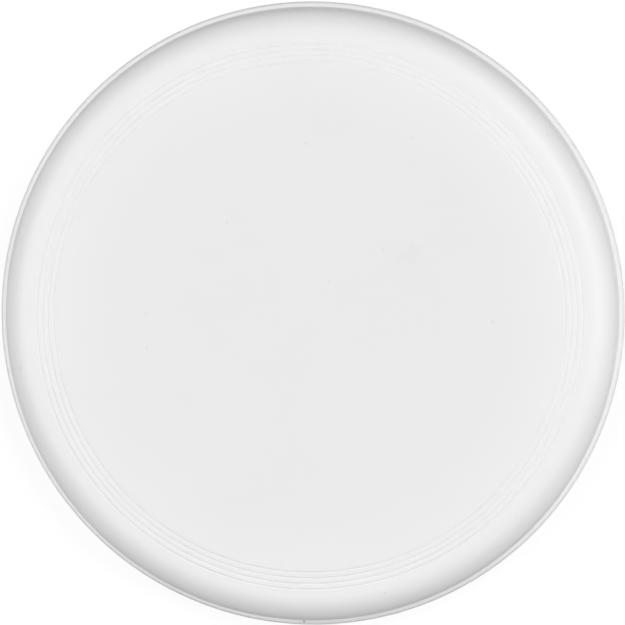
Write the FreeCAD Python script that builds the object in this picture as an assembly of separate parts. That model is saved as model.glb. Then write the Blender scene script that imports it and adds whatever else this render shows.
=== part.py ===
"""One-piece moulded flying disc.

The disc is a thin shell of revolution about +Z, standing on its rim with the flight plate on top. The
origin is the centre of the rim's base. Lengths are in millimetres and angles in degrees.
"""

import FreeCAD
import Part

import math
import os

# Overall form.
OUTER_DIAMETER = 220.0  # across the rim lip
HEIGHT = 20.0  # rim base to the top of the flight plate
PLATE_THICKNESS = 1.5  # also the shoulder's thickness

# Flight plate: a flat middle, then a crown that falls away gently to the shoulder.
FLAT_RADIUS = 67.0
CROWN_EDGE_RADIUS = 96.5
CROWN_EDGE_SLOPE = 5.5

# Rim: a drafted wall, thicker towards its base, so that discs nest and the mould lets go of them.
OUTER_WALL_SLOPE = 79.0
INNER_WALL_SLOPE = 81.0
CREASE_FILLET = 0.25  # between the wall and the top of the lip
INNER_BASE_FILLET = 0.5

# Lip: its top slopes outwards a little and its edge is drafted, so the disc is widest at its base.
LIP_OVERHANG = 2.0  # how far the lip stands out from the foot of the wall
LIP_THICKNESS = 2.2  # at the foot of the wall
LIP_TOP_SLOPE = 18.0
LIP_EDGE_SLOPE = 68.0
LIP_TOP_FILLET = 0.8
LIP_BASE_FILLET = 0.2

# Flight rings: shallow round-bottomed grooves in the crown.
RING_COUNT = 4
FIRST_RING_RADIUS = 88.1
RING_PITCH = 2.0
RING_WIDTH = 1.1
RING_DEPTH = 0.2

# Gate: the trimmed sprue in a shallow dimple under the middle of the plate.
GATE_DIMPLE_RADIUS = 5.0
GATE_DIMPLE_DEPTH = 0.35
GATE_NUB_RADIUS = 0.9
GATE_NUB_HEIGHT = 0.3


def sine(angle):
    return math.sin(math.radians(angle))


def cosine(angle):
    return math.cos(math.radians(angle))


def run_per_drop(slope):
    """How far a straight wall of that slope moves outwards for each millimetre that it falls."""
    return cosine(slope) / sine(slope)


# Worked out from the dimensions above. An arc of the section turns about its centre: its point of slope S
# lies at radius * (sin S, cos S) from there, and the section falls ever more steeply outwards.
OUTER_RADIUS = OUTER_DIAMETER / 2
WALL_FOOT_RADIUS = OUTER_RADIUS - LIP_OVERHANG
CROWN_ARC = (CROWN_EDGE_RADIUS - FLAT_RADIUS) / sine(CROWN_EDGE_SLOPE)
CROWN_CENTRE = (FLAT_RADIUS, HEIGHT - CROWN_ARC)
CROWN_EDGE_HEIGHT = CROWN_CENTRE[1] + CROWN_ARC * cosine(CROWN_EDGE_SLOPE)
DROP_TO_LIP = CROWN_EDGE_HEIGHT - LIP_THICKNESS
# The shoulder's radius is the one whose arc runs smoothly from the crown into the wall.
SHOULDER_ARC = (
    WALL_FOOT_RADIUS - CROWN_EDGE_RADIUS - DROP_TO_LIP * run_per_drop(OUTER_WALL_SLOPE)
) / (
    sine(OUTER_WALL_SLOPE)
    - sine(CROWN_EDGE_SLOPE)
    - (cosine(CROWN_EDGE_SLOPE) - cosine(OUTER_WALL_SLOPE)) * run_per_drop(OUTER_WALL_SLOPE)
)
SHOULDER_CENTRE = (
    CROWN_EDGE_RADIUS - SHOULDER_ARC * sine(CROWN_EDGE_SLOPE),
    CROWN_EDGE_HEIGHT - SHOULDER_ARC * cosine(CROWN_EDGE_SLOPE),
)
# Where the lip's edge would meet the base if that corner were sharp. The fillet reaches the full radius.
LIP_BASE_REACH = LIP_BASE_FILLET * (1 + cosine(LIP_EDGE_SLOPE)) / sine(LIP_EDGE_SLOPE)
LIP_BASE_RADIUS = OUTER_RADIUS - LIP_BASE_FILLET + LIP_BASE_REACH
# How far the lip's top falls from the foot of the wall before it would meet that edge.
LIP_TOP_DROP = (
    LIP_BASE_RADIUS - WALL_FOOT_RADIUS - LIP_THICKNESS * run_per_drop(LIP_EDGE_SLOPE)
) / (run_per_drop(LIP_TOP_SLOPE) - run_per_drop(LIP_EDGE_SLOPE))


def arc_point(centre, radius, slope):
    """The point where an arc of the section has that slope."""
    return (centre[0] + radius * sine(slope), centre[1] + radius * cosine(slope))


def crown_point(distance, depth=0.0):
    """The point of the crown at that distance from the axis, or that depth under it."""
    slope = math.degrees(math.asin((distance - CROWN_CENTRE[0]) / CROWN_ARC))
    on_top = arc_point(CROWN_CENTRE, CROWN_ARC, slope)
    return (on_top[0] - depth * sine(slope), on_top[1] - depth * cosine(slope))


def corner(before, at, after, radius):
    """Start, middle and end of the fillet where the line from before meets the line to after."""
    to_before = unit(at, before)
    to_after = unit(at, after)
    half = math.acos(to_before[0] * to_after[0] + to_before[1] * to_after[1]) / 2
    tangent = radius / math.tan(half)
    bisector = unit((0, 0), (to_before[0] + to_after[0], to_before[1] + to_after[1]))
    reach = radius / math.sin(half) - radius
    return (
        (at[0] + to_before[0] * tangent, at[1] + to_before[1] * tangent),
        (at[0] + bisector[0] * reach, at[1] + bisector[1] * reach),
        (at[0] + to_after[0] * tangent, at[1] + to_after[1] * tangent),
    )


def unit(start, end):
    length = math.hypot(end[0] - start[0], end[1] - start[1])
    return ((end[0] - start[0]) / length, (end[1] - start[1]) / length)


class Section:
    """The disc's half-section, drawn edge by edge as (distance from the axis, height)."""

    def __init__(self, start):
        self.edges = []
        self.here = self.vector(start)

    @staticmethod
    def vector(point):
        return FreeCAD.Vector(point[0], 0, point[1])

    def line(self, end):
        end = self.vector(end)
        self.edges.append(Part.makeLine(self.here, end))
        self.here = end

    def arc(self, middle, end):
        end = self.vector(end)
        self.edges.append(Part.Arc(self.here, self.vector(middle), end).toShape())
        self.here = end

    def fillet(self, before, at, after, radius):
        start, middle, end = corner(before, at, after, radius)
        self.line(start)
        self.arc(middle, end)

    def solid(self):
        face = Part.Face(Part.Wire(self.edges))
        return face.revolve(FreeCAD.Vector(0, 0, 0), FreeCAD.Vector(0, 0, 1), 360)


def draw_flight_plate(section):
    """The flat middle and the crown, with its flight rings."""
    section.line((FLAT_RADIUS, HEIGHT))
    reached = FLAT_RADIUS
    for ring in range(RING_COUNT):
        middle = FIRST_RING_RADIUS + ring * RING_PITCH
        inner_edge = middle - RING_WIDTH / 2
        outer_edge = middle + RING_WIDTH / 2
        section.arc(crown_point((reached + inner_edge) / 2), crown_point(inner_edge))
        section.arc(crown_point(middle, RING_DEPTH), crown_point(outer_edge))
        reached = outer_edge
    section.arc(crown_point((reached + CROWN_EDGE_RADIUS) / 2), crown_point(CROWN_EDGE_RADIUS))


def draw_rim(section):
    """The shoulder, the drafted wall and the lip, out to the base and back up inside."""
    middle_slope = (CROWN_EDGE_SLOPE + OUTER_WALL_SLOPE) / 2
    wall_top = arc_point(SHOULDER_CENTRE, SHOULDER_ARC, OUTER_WALL_SLOPE)
    section.arc(arc_point(SHOULDER_CENTRE, SHOULDER_ARC, middle_slope), wall_top)

    wall_foot = (WALL_FOOT_RADIUS, LIP_THICKNESS)
    lip_top_edge = (
        WALL_FOOT_RADIUS + LIP_TOP_DROP * run_per_drop(LIP_TOP_SLOPE),
        LIP_THICKNESS - LIP_TOP_DROP,
    )
    lip_base_edge = (LIP_BASE_RADIUS, 0)
    axis_at_base = (0, 0)
    section.fillet(wall_top, wall_foot, lip_top_edge, CREASE_FILLET)
    section.fillet(wall_foot, lip_top_edge, lip_base_edge, LIP_TOP_FILLET)
    section.fillet(lip_top_edge, lip_base_edge, axis_at_base, LIP_BASE_FILLET)

    inner_arc = SHOULDER_ARC - PLATE_THICKNESS
    inner_wall_top = arc_point(SHOULDER_CENTRE, inner_arc, INNER_WALL_SLOPE)
    inner_foot = (inner_wall_top[0] + inner_wall_top[1] * run_per_drop(INNER_WALL_SLOPE), 0)
    section.fillet(lip_base_edge, inner_foot, inner_wall_top, INNER_BASE_FILLET)
    section.line(inner_wall_top)
    inner_middle_slope = (CROWN_EDGE_SLOPE + INNER_WALL_SLOPE) / 2
    section.arc(
        arc_point(SHOULDER_CENTRE, inner_arc, inner_middle_slope),
        arc_point(SHOULDER_CENTRE, inner_arc, CROWN_EDGE_SLOPE),
    )


def draw_underside(section):
    """The underside of the crown and plate, with the gate in its dimple."""
    crown_arc = CROWN_ARC - PLATE_THICKNESS
    underside = HEIGHT - PLATE_THICKNESS
    section.arc(
        arc_point(CROWN_CENTRE, crown_arc, CROWN_EDGE_SLOPE / 2),
        (FLAT_RADIUS, underside),
    )
    section.line((GATE_DIMPLE_RADIUS, underside))

    # The dimple is a shallow spherical cap, and the nub stands in its middle.
    sphere = (GATE_DIMPLE_RADIUS**2 + GATE_DIMPLE_DEPTH**2) / (2 * GATE_DIMPLE_DEPTH)
    dimple_centre = underside + GATE_DIMPLE_DEPTH - sphere

    def dimple_point(distance):
        return (distance, dimple_centre + math.sqrt(sphere**2 - distance**2))

    section.arc(dimple_point((GATE_DIMPLE_RADIUS + GATE_NUB_RADIUS) / 2), dimple_point(GATE_NUB_RADIUS))
    nub_foot = dimple_point(GATE_NUB_RADIUS)[1]
    section.line((GATE_NUB_RADIUS, nub_foot - GATE_NUB_HEIGHT))
    section.line((0, nub_foot - GATE_NUB_HEIGHT))


def make_disc_body():
    section = Section((0, HEIGHT))
    draw_flight_plate(section)
    draw_rim(section)
    draw_underside(section)
    section.line((0, HEIGHT))
    return section.solid()


def main():
    os.makedirs("parts", exist_ok=True)
    disc_body = make_disc_body()
    disc_body.exportStep("parts/disc_body.step")
    box = disc_body.optimalBoundingBox(False)
    print(f"shoulder radius {SHOULDER_ARC:.3f} mm")
    print(f"size {box.XLength:.3f} x {box.YLength:.3f} x {box.ZLength:.3f} mm")
    print(f"volume {disc_body.Volume / 1000:.2f} cm3, valid {disc_body.isValid()}")


main()
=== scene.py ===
"""Looks of the moulded flying disc: its finished mesh, its plastic, and a plain white studio.

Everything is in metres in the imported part's frame: the disc stands on its rim, +Z up, with the origin
under its middle.
"""

import math

import bpy
from mathutils import Matrix, Vector


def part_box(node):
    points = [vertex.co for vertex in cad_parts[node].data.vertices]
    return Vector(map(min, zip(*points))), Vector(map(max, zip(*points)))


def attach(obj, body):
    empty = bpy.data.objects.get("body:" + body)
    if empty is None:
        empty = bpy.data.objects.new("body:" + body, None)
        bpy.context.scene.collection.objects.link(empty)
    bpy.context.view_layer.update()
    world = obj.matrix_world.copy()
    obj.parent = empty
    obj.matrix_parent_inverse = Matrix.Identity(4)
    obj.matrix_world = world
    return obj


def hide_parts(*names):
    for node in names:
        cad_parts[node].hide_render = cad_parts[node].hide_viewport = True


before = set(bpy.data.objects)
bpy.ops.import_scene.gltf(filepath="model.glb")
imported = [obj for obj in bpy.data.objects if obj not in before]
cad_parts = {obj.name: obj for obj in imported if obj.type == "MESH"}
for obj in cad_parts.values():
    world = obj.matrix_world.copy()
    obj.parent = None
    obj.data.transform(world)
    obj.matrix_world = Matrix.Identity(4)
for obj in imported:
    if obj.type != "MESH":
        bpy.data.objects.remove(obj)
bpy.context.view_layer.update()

CAD_NODE = "disc_body"
MM = 0.001

# Overall form, from the frame.
HIGH_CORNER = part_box(CAD_NODE)[1]
OUTER_RADIUS = HIGH_CORNER.x
HEIGHT = HIGH_CORNER.z

# The section's own dimensions. A slope is in degrees below the horizontal, going outwards.
PLATE_THICKNESS = 1.5 * MM
FLAT_RADIUS = 67 * MM
CROWN_EDGE_RADIUS = 96.5 * MM
CROWN_EDGE_SLOPE = 5.5
OUTER_WALL_SLOPE = 79
INNER_WALL_SLOPE = 81
LIP_OVERHANG = 2.0 * MM
LIP_THICKNESS = 2.2 * MM
LIP_TOP_SLOPE = 18
LIP_EDGE_SLOPE = 68
CREASE_FILLET = 0.25 * MM
LIP_TOP_FILLET = 0.8 * MM
LIP_BASE_FILLET = 0.2 * MM
INNER_BASE_FILLET = 0.5 * MM
PARTING_LINE = 0.04 * MM  # the height of the step in the lip's edge, and how far it stands out
PARTING_SLOPES = (84, 105)  # where the round edge stops above the parting line and starts again below it
RING_COUNT = 4
FIRST_RING_RADIUS = 88.1 * MM
RING_PITCH = 2 * MM
RING_WIDTH = 1.1 * MM
RING_DEPTH = 0.2 * MM
GATE_DIMPLE_RADIUS = 5 * MM
GATE_DIMPLE_DEPTH = 0.35 * MM
GATE_NUB_RADIUS = 0.9 * MM
GATE_NUB_HEIGHT = 0.3 * MM
GATE_NUB_SKIRT = 1.2  # the dimple ends at this multiple of the nub's radius
GATE_NUB_FOOT_FILLET = 0.12 * MM
GATE_NUB_TOP_FILLET = 0.1 * MM

# The plastic's tones, as shares of the light reflected, and how far each mark changes them. The
# shoulder's, lip's and edge's tones are painted light, and the rings' tone is painted shade and
# highlight.
PLATE_TONE = 0.778
# painted light: the shoulder, the lip's top and its outer edge are given a lighter colour than the plate
SHOULDER_PAINTED_LIGHT = 0.809
LIP_PAINTED_HIGHLIGHT = 0.885
LIP_EDGE_PAINTED_LIGHT = 0.83
CLOUD_TONE = 0.004
TOOL_TONE = 0.002
# painted shade in the flight rings and painted highlight on the lands between them
RING_PAINTED_SHADE = 0.006
SCUFF_TONE = 0.024
SCUFF_PLACE = (34.7 * MM, 21.6 * MM)
SCUFF_SIZE = (6.5 * MM, 3.4 * MM, 1 * MM)  # half its length, width and depth
SCUFF_TURN = 35  # degrees
SCUFF_FADE = (0.1, 1.2)  # where it starts to fade and where it has gone, as shares of its size
SCUFF_RAGGED = 0.3  # how far its edge wanders, as a share of its size
SPECK_CELLS = 110  # to the metre
SPECK_RARITY = 0.55  # the share of cells without a speck
SPECK_RADIUS = 0.75 * MM  # of the largest
SPECK_TONE = 0.045
FLECK_PLACE = (-2.3 * MM, -108.6 * MM, 2 * MM)
FLECK_RADIUS = 0.45 * MM
FLECK_TONE = 0.6

# The plastic's surface. Each noise has a scale, to the metre, and a detail.
CLOUDS = (30, 3)
TOOL_MARKS = (900, 3)
SCUFF_EDGE = (420, 3)
GRAIN = (2500, 2)
GRAIN_DEPTH = 0.02 * MM
GRAIN_STRENGTH = 0.15
NOISE_RANGE = (0.3, 0.7)  # where nearly all of a noise's values lie
GLOSS_RANGE = (0.2, 0.8)  # the same, for the grain and the tool marks together
TOOL_GLOSS = 0.25
ROUGHNESS_RANGE = (0.38, 0.5)
REFRACTIVE_INDEX = 1.49

# How finely the disc is divided. A step is in degrees.
SEGMENTS = 384
ARC_STEP = 3.0
CORNER_STEP = 9.0
SHOULDER_STEP = 2
CROWN_STEP = 0.5
DIMPLE_STEP = 1
LIP_EDGE_STEP = 8
LIP_BASE_STEP = 15
PLATE_SHARES = (0.04, 0.12, 0.3, 0.5, 0.7, 0.85, 0.95, 1)  # of the flat's radius, on top
UNDERSIDE_SHARES = (0.95, 0.8, 0.6, 0.4, 0.2)
CROWN_STRIPS = 8  # from the flat to the first ring
LAND_STRIPS = 2  # between two rings
RING_STRIPS = 12  # across each ring
EASE = 0.1 * MM  # length of the short strips that hold a flat flat beside a bend
SAME_PLACE = 1e-7  # points nearer than this are one


def sine(angle):
    return math.sin(math.radians(angle))


def cosine(angle):
    return math.cos(math.radians(angle))


def run_per_drop(slope):
    """How far a straight wall of that slope moves outwards for each metre that it falls."""
    return cosine(slope) / sine(slope)


# Worked out from the dimensions above. An arc's point of slope S lies at radius * (sin S, cos S) from its
# centre. The shoulder's radius is the one whose arc runs smoothly from the crown into the wall.
WALL_FOOT_RADIUS = OUTER_RADIUS - LIP_OVERHANG
CROWN_ARC = (CROWN_EDGE_RADIUS - FLAT_RADIUS) / sine(CROWN_EDGE_SLOPE)
CROWN_CENTRE = (FLAT_RADIUS, HEIGHT - CROWN_ARC)
CROWN_EDGE_HEIGHT = CROWN_CENTRE[1] + CROWN_ARC * cosine(CROWN_EDGE_SLOPE)
DROP_TO_LIP = CROWN_EDGE_HEIGHT - LIP_THICKNESS
SHOULDER_ARC = (
    WALL_FOOT_RADIUS - CROWN_EDGE_RADIUS - DROP_TO_LIP * run_per_drop(OUTER_WALL_SLOPE)
) / (
    sine(OUTER_WALL_SLOPE)
    - sine(CROWN_EDGE_SLOPE)
    - (cosine(CROWN_EDGE_SLOPE) - cosine(OUTER_WALL_SLOPE)) * run_per_drop(OUTER_WALL_SLOPE)
)
SHOULDER_CENTRE = (
    CROWN_EDGE_RADIUS - SHOULDER_ARC * sine(CROWN_EDGE_SLOPE),
    CROWN_EDGE_HEIGHT - SHOULDER_ARC * cosine(CROWN_EDGE_SLOPE),
)
# Where the lip's edge would meet the base if that corner were sharp. The fillet reaches the full radius.
LIP_BASE_REACH = LIP_BASE_FILLET * (1 + cosine(LIP_EDGE_SLOPE)) / sine(LIP_EDGE_SLOPE)
LIP_BASE_RADIUS = OUTER_RADIUS - LIP_BASE_FILLET + LIP_BASE_REACH
# How far the lip's top falls from the foot of the wall before it would meet that edge.
LIP_TOP_DROP = (
    LIP_BASE_RADIUS - WALL_FOOT_RADIUS - LIP_THICKNESS * run_per_drop(LIP_EDGE_SLOPE)
) / (run_per_drop(LIP_TOP_SLOPE) - run_per_drop(LIP_EDGE_SLOPE))


# -------------------------------------------------------------------------------------------- the section


def arc_point(centre, radius, slope):
    """The point where an arc of the section has that slope."""
    return (centre[0] + radius * sine(slope), centre[1] + radius * cosine(slope))


def crown_point(distance, depth=0.0):
    """The crown's point at that distance from the axis, or that depth under it."""
    slope = math.degrees(math.asin((distance - CROWN_CENTRE[0]) / CROWN_ARC))
    return arc_point(CROWN_CENTRE, CROWN_ARC - depth, slope)


class Section:
    """The half-section as points (distance from the axis, height), close together where it bends."""

    def __init__(self, start):
        self.points = [start]

    def to(self, point):
        if math.dist(point, self.points[-1]) > SAME_PLACE:
            self.points.append(point)

    def line(self, end):
        """A straight run, divided in its middle and close to both ends."""
        start = self.points[-1]
        length = math.dist(start, end)
        if length > 4 * EASE:
            for share in (EASE / length, 0.5, 1 - EASE / length):
                self.to(tuple(a + (b - a) * share for a, b in zip(start, end)))
        self.to(end)

    def arc(self, centre, radius, start_slope, end_slope, step=ARC_STEP):
        count = max(2, math.ceil(abs(end_slope - start_slope) / step))
        for i in range(count + 1):
            self.to(arc_point(centre, radius, start_slope + (end_slope - start_slope) * i / count))

    def corner(self, before, at, after, radius):
        """A straight run to a rounded corner, and the way round it."""
        to_before = Vector(before) - Vector(at)
        to_after = Vector(after) - Vector(at)
        to_before.normalize()
        to_after.normalize()
        half = to_before.angle(to_after) / 2
        centre = Vector(at) + (to_before + to_after).normalized() * (radius / math.sin(half))
        first = Vector(at) + to_before * (radius / math.tan(half)) - centre
        last = Vector(at) + to_after * (radius / math.tan(half)) - centre
        self.line(tuple(centre + first))
        turn = math.pi - 2 * half
        count = max(3, math.ceil(math.degrees(turn) / CORNER_STEP))
        for i in range(1, count + 1):
            share = i / count
            spoke = first * math.sin((1 - share) * turn) + last * math.sin(share * turn)
            self.to(tuple(centre + spoke / math.sin(turn)))


def draw_flight_plate(section):
    """The flat middle and the crown, with flight rings whose edges are as soft as a mould leaves them."""
    for share in PLATE_SHARES:
        section.to((FLAT_RADIUS * share, HEIGHT))
    reached = FLAT_RADIUS
    for ring in range(RING_COUNT):
        middle = FIRST_RING_RADIUS + ring * RING_PITCH
        start = middle - RING_WIDTH / 2
        strips = CROWN_STRIPS if ring == 0 else LAND_STRIPS
        for i in range(1, strips):
            section.to(crown_point(reached + (start - reached) * i / strips))
        section.to(crown_point(start - EASE))
        for i in range(RING_STRIPS + 1):
            share = i / RING_STRIPS
            depth = RING_DEPTH * math.sin(math.pi * share) ** 2
            section.to(crown_point(start + RING_WIDTH * share, depth))
        reached = start + RING_WIDTH + EASE
        section.to(crown_point(reached))
    section.to(crown_point((reached + CROWN_EDGE_RADIUS) / 2))
    section.to(crown_point(CROWN_EDGE_RADIUS))


def draw_rim(section):
    """The shoulder, the drafted wall, the lip with its parting line, the base and the wall's inside."""
    section.arc(SHOULDER_CENTRE, SHOULDER_ARC, CROWN_EDGE_SLOPE, OUTER_WALL_SLOPE, SHOULDER_STEP)
    wall_top = section.points[-1]
    wall_foot = (WALL_FOOT_RADIUS, LIP_THICKNESS)
    lip_top = (
        WALL_FOOT_RADIUS + LIP_TOP_DROP * run_per_drop(LIP_TOP_SLOPE),
        LIP_THICKNESS - LIP_TOP_DROP,
    )
    base_round = LIP_BASE_FILLET - PARTING_LINE
    base_centre = (OUTER_RADIUS - LIP_BASE_FILLET, LIP_BASE_FILLET)
    lip_edge_foot = arc_point(base_centre, base_round, LIP_EDGE_SLOPE)
    section.corner(wall_top, wall_foot, lip_top, CREASE_FILLET)
    section.corner(wall_foot, lip_top, lip_edge_foot, LIP_TOP_FILLET)
    section.line(lip_edge_foot)
    section.arc(base_centre, base_round, LIP_EDGE_SLOPE, PARTING_SLOPES[0], LIP_EDGE_STEP)
    section.to((OUTER_RADIUS, LIP_BASE_FILLET + PARTING_LINE / 2))
    section.to((OUTER_RADIUS, LIP_BASE_FILLET - PARTING_LINE / 2))
    section.arc(base_centre, LIP_BASE_FILLET, PARTING_SLOPES[1], 180, LIP_BASE_STEP)

    inner_arc = SHOULDER_ARC - PLATE_THICKNESS
    inner_wall_top = arc_point(SHOULDER_CENTRE, inner_arc, INNER_WALL_SLOPE)
    inner_foot = (inner_wall_top[0] + inner_wall_top[1] * run_per_drop(INNER_WALL_SLOPE), 0)
    section.corner(section.points[-1], inner_foot, inner_wall_top, INNER_BASE_FILLET)
    section.line(inner_wall_top)
    section.arc(SHOULDER_CENTRE, inner_arc, INNER_WALL_SLOPE, CROWN_EDGE_SLOPE)


def draw_underside(section):
    """The underside of the crown and plate, and the gate's trimmed nub in its dimple."""
    section.arc(CROWN_CENTRE, CROWN_ARC - PLATE_THICKNESS, CROWN_EDGE_SLOPE, 0, CROWN_STEP)
    underside = HEIGHT - PLATE_THICKNESS
    for share in UNDERSIDE_SHARES:
        section.to((FLAT_RADIUS * share, underside))

    # The dimple is a shallow spherical cap, and the nub stands in its middle.
    sphere = (GATE_DIMPLE_RADIUS**2 + GATE_DIMPLE_DEPTH**2) / (2 * GATE_DIMPLE_DEPTH)
    dimple_centre = (0, underside + GATE_DIMPLE_DEPTH - sphere)
    dimple_edge = math.degrees(math.asin(GATE_DIMPLE_RADIUS / sphere))
    section.line((GATE_DIMPLE_RADIUS, underside))
    nub_edge = math.degrees(math.asin(GATE_NUB_RADIUS * GATE_NUB_SKIRT / sphere))
    section.arc(dimple_centre, sphere, dimple_edge, nub_edge, DIMPLE_STEP)
    nub_foot = section.points[-1]
    nub_top = nub_foot[1] - GATE_NUB_HEIGHT
    side_foot = (GATE_NUB_RADIUS, nub_foot[1])
    side_top = (GATE_NUB_RADIUS, nub_top)
    section.corner(nub_foot, side_foot, side_top, GATE_NUB_FOOT_FILLET)
    section.corner(section.points[-1], side_top, (0, nub_top), GATE_NUB_TOP_FILLET)


# ----------------------------------------------------------------------------------------------- the mesh


def revolve(name, points):
    """A closed mesh of revolution about Z. Its first and last points lie on the axis."""
    inner = points[1:-1]
    vertices = [(0, 0, points[0][1])]
    for radius, height in inner:
        for i in range(SEGMENTS):
            turn = 2 * math.pi * i / SEGMENTS
            vertices.append((radius * math.cos(turn), radius * math.sin(turn), height))
    vertices.append((0, 0, points[-1][1]))

    faces = []
    last = len(vertices) - 1
    end_ring = 1 + (len(inner) - 1) * SEGMENTS
    for i in range(SEGMENTS):
        j = (i + 1) % SEGMENTS
        faces.append((0, 1 + i, 1 + j))
        for ring in range(1, end_ring, SEGMENTS):
            faces.append((ring + i, ring + SEGMENTS + i, ring + SEGMENTS + j, ring + j))
        faces.append((end_ring + i, last, end_ring + j))
    mesh = bpy.data.meshes.new(name)
    mesh.from_pydata(vertices, [], faces)
    mesh.validate()
    mesh.shade_smooth()
    piece = bpy.data.objects.new(name, mesh)
    bpy.context.scene.collection.objects.link(piece)
    return piece


def make_disc():
    section = Section((0, HEIGHT))
    draw_flight_plate(section)
    draw_rim(section)
    draw_underside(section)
    section.line((0, section.points[-1][1]))
    return revolve("disc_shell", section.points)


# -------------------------------------------------------------------------------------------- the plastic


def new_material(name):
    material = bpy.data.materials.new(name)
    material.use_nodes = True
    material.node_tree.nodes.clear()
    return material, material.node_tree


def add(tree, kind, values=(), **settings):
    """A node with its settings, and a value or a link for each named input."""
    node = tree.nodes.new("ShaderNode" + kind)
    for key, value in settings.items():
        setattr(node, key, value)
    for key, value in dict(values).items():
        if isinstance(value, bpy.types.NodeSocket):
            tree.links.new(value, node.inputs[key])
        else:
            node.inputs[key].default_value = value
    return node


def math_node(tree, operation, first, second=0.0):
    return add(tree, "Math", {0: first, 1: second}, operation=operation).outputs["Value"]


def ranged(tree, value, from_min, from_max, to_min, to_max, smooth=False):
    """The value carried from one range to the other, and held at the ends."""
    kind = "SMOOTHSTEP" if smooth else "LINEAR"
    values = {
        "Value": value,
        "From Min": from_min,
        "From Max": from_max,
        "To Min": to_min,
        "To Max": to_max,
    }
    return add(tree, "MapRange", values, interpolation_type=kind).outputs["Result"]


def noise(tree, vector, fineness):
    scale, detail = fineness
    return add(tree, "TexNoise", {"Vector": vector, "Scale": scale, "Detail": detail}).outputs["Fac"]


def swing(tree, value, reach):
    """A noise carried to values that run from -reach to +reach."""
    return ranged(tree, value, *NOISE_RANGE, -reach, reach)


def tone_with_painted_light(tree, distance):
    """The plastic's tone, with painted light: lighter over the crown and shoulder, a painted highlight
    along the lip's top, and a little less at the lip's outer edge.
    """
    share = math_node(tree, "DIVIDE", distance, OUTER_RADIUS)
    ramp = add(tree, "ValToRGB", {"Fac": share})
    stops = (
        (FLAT_RADIUS, PLATE_TONE),
        (FIRST_RING_RADIUS + 5 * MM, SHOULDER_PAINTED_LIGHT),
        (WALL_FOOT_RADIUS - 0.1 * MM, SHOULDER_PAINTED_LIGHT),
        (WALL_FOOT_RADIUS + 0.2 * MM, LIP_PAINTED_HIGHLIGHT),
        (WALL_FOOT_RADIUS + 0.4 * LIP_OVERHANG, LIP_PAINTED_HIGHLIGHT),
        (WALL_FOOT_RADIUS + 0.65 * LIP_OVERHANG, LIP_EDGE_PAINTED_LIGHT),
    )
    elements = ramp.color_ramp.elements
    while len(elements) < len(stops):
        elements.new(1.0)
    for element, (radius, tone) in zip(elements, stops):
        element.position = radius / OUTER_RADIUS
        element.color = (tone, tone, tone, 1)
    return ramp.outputs["Color"]


def ring_painted_shade(tree, place, distance):
    """Painted shade along the middle of each flight ring and painted highlight on the lands between them,
    on the top side alone.
    """
    turn = 2 * math.pi / RING_PITCH
    angle = math_node(tree, "MULTIPLY", math_node(tree, "SUBTRACT", distance, FIRST_RING_RADIUS), turn)
    wave = math_node(tree, "MULTIPLY", math_node(tree, "COSINE", angle), -RING_PAINTED_SHADE)
    first = FIRST_RING_RADIUS - RING_PITCH / 2
    last = FIRST_RING_RADIUS + (RING_COUNT - 0.5) * RING_PITCH
    rise = ranged(tree, distance, first, first + RING_PITCH / 4, 0, 1, smooth=True)
    fall = ranged(tree, distance, last - RING_PITCH / 4, last, 1, 0, smooth=True)
    level = add(tree, "SeparateXYZ", {"Vector": place}).outputs["Z"]
    on_top = math_node(tree, "GREATER_THAN", level, HEIGHT - 1.1 * PLATE_THICKNESS)
    extent = math_node(tree, "MULTIPLY", math_node(tree, "MULTIPLY", rise, fall), on_top)
    return math_node(tree, "MULTIPLY", wave, extent)


def scuff_tone(tree, place):
    """One faint oblique rub on the plate, ragged at its edges."""
    turned = add(
        tree,
        "Mapping",
        {
            "Vector": place,
            "Location": (*SCUFF_PLACE, HEIGHT),
            "Rotation": (0, 0, math.radians(SCUFF_TURN)),
            "Scale": SCUFF_SIZE,
        },
        vector_type="TEXTURE",
    ).outputs["Vector"]
    across = add(tree, "VectorMath", {0: turned}, operation="LENGTH").outputs["Value"]
    ragged = math_node(tree, "ADD", across, swing(tree, noise(tree, place, SCUFF_EDGE), SCUFF_RAGGED))
    return ranged(tree, ragged, *SCUFF_FADE, -SCUFF_TONE, 0, smooth=True)


def speck_tone(tree, place):
    """Specks in the plastic, at the points that some cells of a coarse pattern grow from."""
    cells = add(tree, "TexVoronoi", {"Vector": place, "Scale": SPECK_CELLS, "Randomness": 1.0})
    chosen = add(tree, "SeparateColor", {"Color": cells.outputs["Color"]}).outputs["Red"]
    radius = ranged(tree, chosen, SPECK_RARITY, 1.0, 0.0, SPECK_RADIUS * SPECK_CELLS)
    inside = math_node(tree, "LESS_THAN", cells.outputs["Distance"], radius)
    return math_node(tree, "MULTIPLY", inside, -SPECK_TONE)


def fleck_tone(tree, place):
    """One dark fleck of dirt that has caught in the crease over the lip."""
    across = add(tree, "VectorMath", {0: place, 1: FLECK_PLACE}, operation="DISTANCE").outputs["Value"]
    return ranged(tree, across, FLECK_RADIUS / 2, FLECK_RADIUS, -FLECK_TONE, 0, smooth=True)


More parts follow.
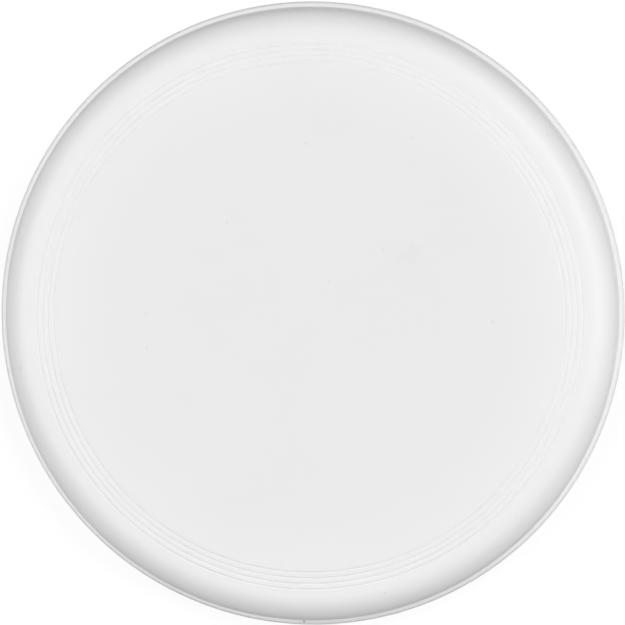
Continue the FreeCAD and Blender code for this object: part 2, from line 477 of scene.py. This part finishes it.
def white_plastic():
    """Satin white polypropylene, a little cloudy, with concentric tool marks and a fine moulded grain."""
    material, tree = new_material("white_polypropylene")
    place = add(tree, "TexCoord").outputs["Object"]
    flattened = add(tree, "VectorMath", {0: place, 1: (1, 1, 0)}, operation="MULTIPLY").outputs["Vector"]
    distance = add(tree, "VectorMath", {0: flattened}, operation="LENGTH").outputs["Value"]
    on_rings = add(tree, "CombineXYZ", {"X": distance}).outputs["Vector"]

    tool_marks = noise(tree, on_rings, TOOL_MARKS)
    cloud = swing(tree, noise(tree, place, CLOUDS), CLOUD_TONE)
    change = math_node(tree, "ADD", cloud, swing(tree, tool_marks, TOOL_TONE))
    # the flight rings' painted shade and highlight, then a scuff, specks and a dark fleck
    marks_and_painted_light = (
        ring_painted_shade(tree, place, distance),
        scuff_tone(tree, place),
        speck_tone(tree, place),
        fleck_tone(tree, place),
    )
    for mark_or_painted_light in marks_and_painted_light:
        change = math_node(tree, "ADD", change, mark_or_painted_light)
    grey = add(tree, "CombineXYZ", {"X": change, "Y": change, "Z": change}).outputs["Vector"]
    # the plate's colour, with painted light over the shoulder and a painted highlight along the lip
    tone = tone_with_painted_light(tree, distance)
    colour = add(tree, "VectorMath", {0: tone, 1: grey}, operation="ADD").outputs["Vector"]

    grain = noise(tree, place, GRAIN)
    gloss = math_node(tree, "ADD", grain, swing(tree, tool_marks, TOOL_GLOSS))
    roughness = ranged(tree, gloss, *GLOSS_RANGE, *ROUGHNESS_RANGE)
    relief = {"Height": grain, "Strength": GRAIN_STRENGTH, "Distance": GRAIN_DEPTH}
    bump = add(tree, "Bump", relief).outputs["Normal"]
    shader = add(
        tree,
        "BsdfPrincipled",
        {"Base Color": colour, "Roughness": roughness, "Normal": bump, "IOR": REFRACTIVE_INDEX},
    )
    add(tree, "OutputMaterial", {"Surface": shader.outputs["BSDF"]})
    return material


# --------------------------------------------------------------------------------------------- the studio

CAMERA_DISTANCE = 750 * MM
CAMERA_TILT = 4.25  # degrees from straight down
CAMERA_AZIMUTH = 45
VIEW_WIDTH = 220.35 * MM
OUTLINE_PLACE = (0.22 * MM, -0.16 * MM)  # the middle of the disc's outline, from the picture's middle
SENSOR_WIDTH = 36  # millimetres, like the lens
FLOOR_RADIUS = 6.0
FLOOR_SIDES = 128
FLOOR_TONE = 0.3
FLOOR_GLOW = 0.1
GLOW_SEEN = 0.72  # of the floor and the backdrop, to the camera alone
SOFTBOX_DISTANCE = 2.0
SOFTBOX_WIDTH = 1.2
SOFTBOXES = (  # name, angle round from +X, angle above the floor and power in watts
    ("left", 180, 40, 15.4),
    ("back_left", 135, 40, 9.6),
    ("back_right", 45, 40, 13.3),
    ("right", 0, 40, 10.4),
    ("front_right", 315, 40, 5.7),
    ("front_left", 225, 40, 2.6),
    ("front_high", 270, 65, 4.5),
    ("front_left_high", 225, 65, 3.8),
    ("back_high", 90, 65, 0.6),
    ("right_low", 0, 15, 8.7),
    ("under", 0, -90, 24),
)


def toward(azimuth, elevation):
    """The direction at that angle round from +X and above the floor, in degrees."""
    return Vector(
        (cosine(azimuth) * cosine(elevation), sine(azimuth) * cosine(elevation), sine(elevation))
    )


def make_floor():
    """A pale floor whose glow hides the disc's shadow from above, and which is clear from below."""
    bpy.ops.mesh.primitive_circle_add(vertices=FLOOR_SIDES, radius=FLOOR_RADIUS, fill_type="NGON")
    floor = bpy.context.object
    floor.name = "floor"
    material, tree = new_material("floor_white")
    tone = (FLOOR_TONE, FLOOR_TONE, FLOOR_TONE, 1)
    diffuse = add(tree, "BsdfDiffuse", {"Color": tone}).outputs["BSDF"]
    path = add(tree, "LightPath")
    glow = add(
        tree,
        "MapRange",
        {"Value": path.outputs["Is Camera Ray"], "To Min": FLOOR_GLOW, "To Max": GLOW_SEEN},
    ).outputs["Result"]
    emission = add(tree, "Emission", {"Strength": glow}).outputs["Emission"]
    lit = add(tree, "AddShader", {0: diffuse, 1: emission}).outputs["Shader"]
    from_below = add(tree, "NewGeometry").outputs["Backfacing"]
    clear = math_node(tree, "MAXIMUM", from_below, path.outputs["Is Shadow Ray"])
    nothing = add(tree, "BsdfTransparent").outputs["BSDF"]
    mixed = add(tree, "MixShader", {0: clear, 1: lit, 2: nothing}).outputs["Shader"]
    add(tree, "OutputMaterial", {"Surface": mixed})
    floor.data.materials.append(material)


def make_softbox(name, azimuth, elevation, power):
    """A square softbox that faces the disc from that direction."""
    light = bpy.data.lights.new(name, "AREA")
    light.shape = "SQUARE"
    light.size = SOFTBOX_WIDTH
    light.energy = power
    holder = bpy.data.objects.new(name, light)
    away = toward(azimuth, elevation)
    holder.location = away * SOFTBOX_DISTANCE
    holder.rotation_mode = "QUATERNION"
    holder.rotation_quaternion = away.to_track_quat("Z", "Y")
    holder.visible_camera = False
    bpy.context.scene.collection.objects.link(holder)


def make_lights():
    for name, azimuth, elevation, power in SOFTBOXES:
        make_softbox(name, azimuth, elevation, power)


def make_backdrop():
    """The backdrop shows pale and gives no light."""
    world = bpy.data.worlds.new("studio")
    world.use_nodes = True
    tree = world.node_tree
    seen = add(tree, "LightPath").outputs["Is Camera Ray"]
    strength = math_node(tree, "MULTIPLY", seen, GLOW_SEEN)
    background = tree.nodes["Background"]
    background.inputs["Color"].default_value = (1, 1, 1, 1)
    tree.links.new(strength, background.inputs["Strength"])
    bpy.context.scene.world = world


def make_camera():
    """The camera looks almost straight down, with +X to the right of the picture and +Y to its top."""
    scene = bpy.context.scene
    back = toward(CAMERA_AZIMUTH, 90 - CAMERA_TILT)
    # The lip's near side looks larger than its far side, which moves the outline's middle to the camera.
    outline_shift = OUTER_RADIUS**2 * sine(CAMERA_TILT) / CAMERA_DISTANCE
    from_outline = Vector((-OUTLINE_PLACE[0], -OUTLINE_PLACE[1], LIP_BASE_FILLET))
    aim = toward(CAMERA_AZIMUTH, 0) * outline_shift + from_outline
    camera = bpy.data.objects.new("camera", bpy.data.cameras.new("camera"))
    camera.data.sensor_width = SENSOR_WIDTH
    camera.data.lens = SENSOR_WIDTH * CAMERA_DISTANCE / VIEW_WIDTH
    right = (-back).cross(Vector((0, 1, 0))).normalized()
    up = back.cross(right)
    turn = Matrix((right, up, back)).transposed().to_4x4()
    camera.matrix_world = Matrix.Translation(aim + back * CAMERA_DISTANCE) @ turn
    scene.collection.objects.link(camera)
    scene.camera = camera
    scene.view_settings.view_transform = "Standard"


disc = make_disc()
disc.data.materials.append(white_plastic())
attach(disc, "root")
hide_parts(CAD_NODE)
make_floor()
make_lights()
make_backdrop()
make_camera()
